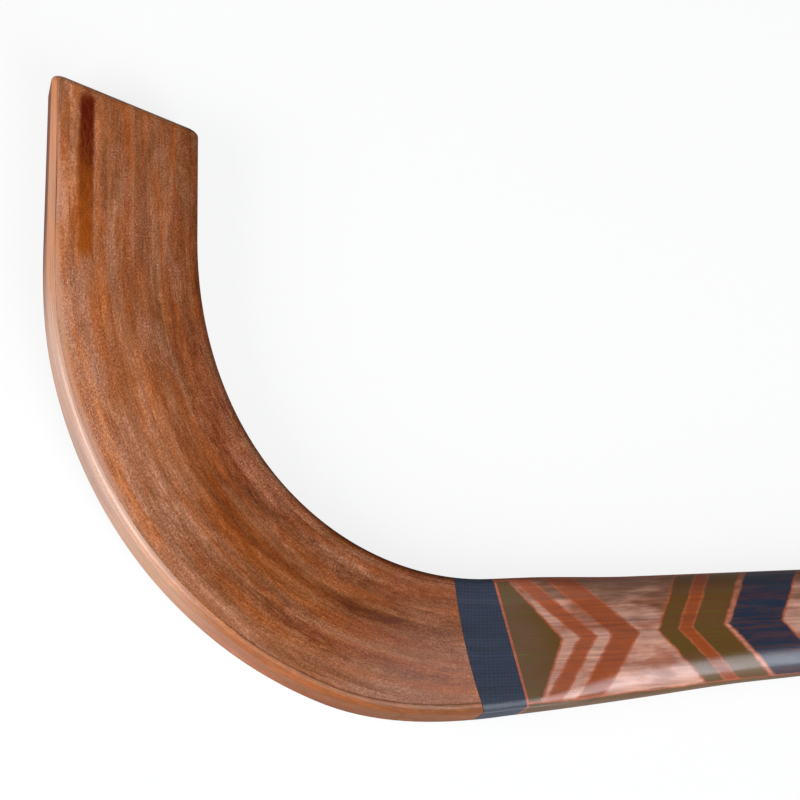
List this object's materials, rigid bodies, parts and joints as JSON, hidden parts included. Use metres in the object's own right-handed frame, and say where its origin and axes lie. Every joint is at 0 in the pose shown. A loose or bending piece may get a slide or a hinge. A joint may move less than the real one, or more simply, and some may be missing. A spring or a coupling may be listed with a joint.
{
  "type": "roller hockey stick",
  "caption": "Roller hockey stick of bent laminated wood: a curved blade with cloth-faced sides, a straight shaft in printed film, a wound grip and an end cap.",
  "frame": {"origin": "centre of the stick's box in plan, on the plane it lies on, front face up", "axes": "+X along the shaft from the blade to the butt, +Y in the plane of the blade towards its tip, +Z out of the front face"},
  "size_m": [0.9538, 0.198, 0.0247],
  "materials": {
    "pale_ply": "clear lacquer, satin",
    "warm_ply": "clear lacquer, satin",
    "dark_ply": "clear lacquer, satin",
    "glass_cloth": "woven glass cloth in clear resin, over the wood",
    "print_film": "glossy printed film",
    "grip_tape": "matt, fine-grained",
    "finishing_tape": "satin",
    "end_cap": "matt"
  },
  "bodies": {
    "root": {"lamination_01": "pale_ply", "lamination_02": "warm_ply", "lamination_03": "pale_ply", "lamination_04": "warm_ply", "lamination_05": "pale_ply", "lamination_06": "warm_ply", "lamination_07": "pale_ply", "lamination_08": "warm_ply", "lamination_09": "dark_ply", "lamination_10": "warm_ply", "lamination_11": "pale_ply", "lamination_12": "pale_ply", "blade_cloth_front": "glass_cloth", "blade_cloth_back": "glass_cloth", "print_film": "print_film", "grip_tape": "grip_tape", "grip_collar": "finishing_tape", "end_cap": "end_cap"}
  },
  "joints": []
}
